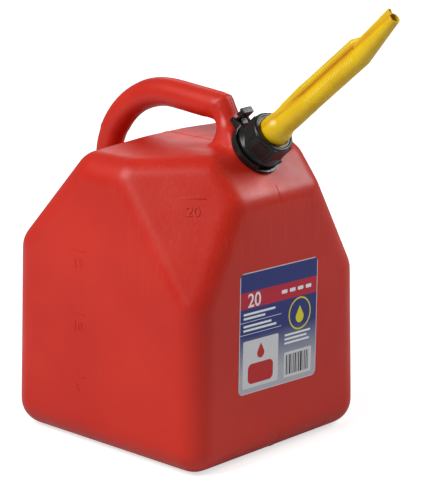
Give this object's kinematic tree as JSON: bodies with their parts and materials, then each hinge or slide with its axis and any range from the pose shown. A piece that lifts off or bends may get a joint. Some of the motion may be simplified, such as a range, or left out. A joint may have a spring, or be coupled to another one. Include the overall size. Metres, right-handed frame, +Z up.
{
  "type": "gas_can",
  "caption": "Red plastic fuel can with a moulded handle, black screw collar on a lock ring with release lever, and a yellow two-channel pouring spout.",
  "frame": {"origin": "Centre of the flat base, at ground level, midway between the side walls and between the foot of the front and rear walls.", "axes": "+X to the front, the side with the label, which the spout leans towards; +Y to the can's left; +Z up."},
  "size_m": [0.4291, 0.2704, 0.4991],
  "materials": {
    "red_plastic": "satin blow-moulded polyethylene",
    "black_plastic": "satin injection-moulded",
    "yellow_plastic": "satin, slightly soft",
    "black_rubber": "smooth",
    "label_film": "printed film"
  },
  "bodies": {
    "can": {"can_body": "red_plastic", "label": "label_film", "lock_ring": "black_plastic"},
    "lever": {"release_lever": "black_plastic"},
    "seal": {"gasket": "black_rubber"},
    "collar": {"screw_collar": "black_plastic"},
    "spout": {"spout": "yellow_plastic"}
  },
  "joints": [
    {"name": "lever_press", "type": "hinge", "parent": "can", "child": "lever", "pos_m": [0.07768, 0, 0.35772], "axis": [0, -1, 0], "range_deg": [0, 9], "stiffness_Nm_per_rad": 0.5},
    {"name": "collar_lift", "type": "slide", "parent": "can", "child": "seal", "axis": [0.7431, 0, 0.6691], "range_m": [0, 0.00525]},
    {"name": "collar_turn", "type": "hinge", "parent": "seal", "child": "collar", "pos_m": [0.12651, 0, 0.35191], "axis": [0.7431, 0, 0.6691], "range_deg": [0, 540]},
    {"name": "spout_swivel", "type": "hinge", "parent": "seal", "child": "spout", "pos_m": [0.12651, 0, 0.35191], "axis": [0.7431, 0, 0.6691], "continuous": true}
  ],
  "couplings": [
    {"joint": "collar_lift", "follows": "collar_turn", "m_per_rad": 0.000557}
  ]
}
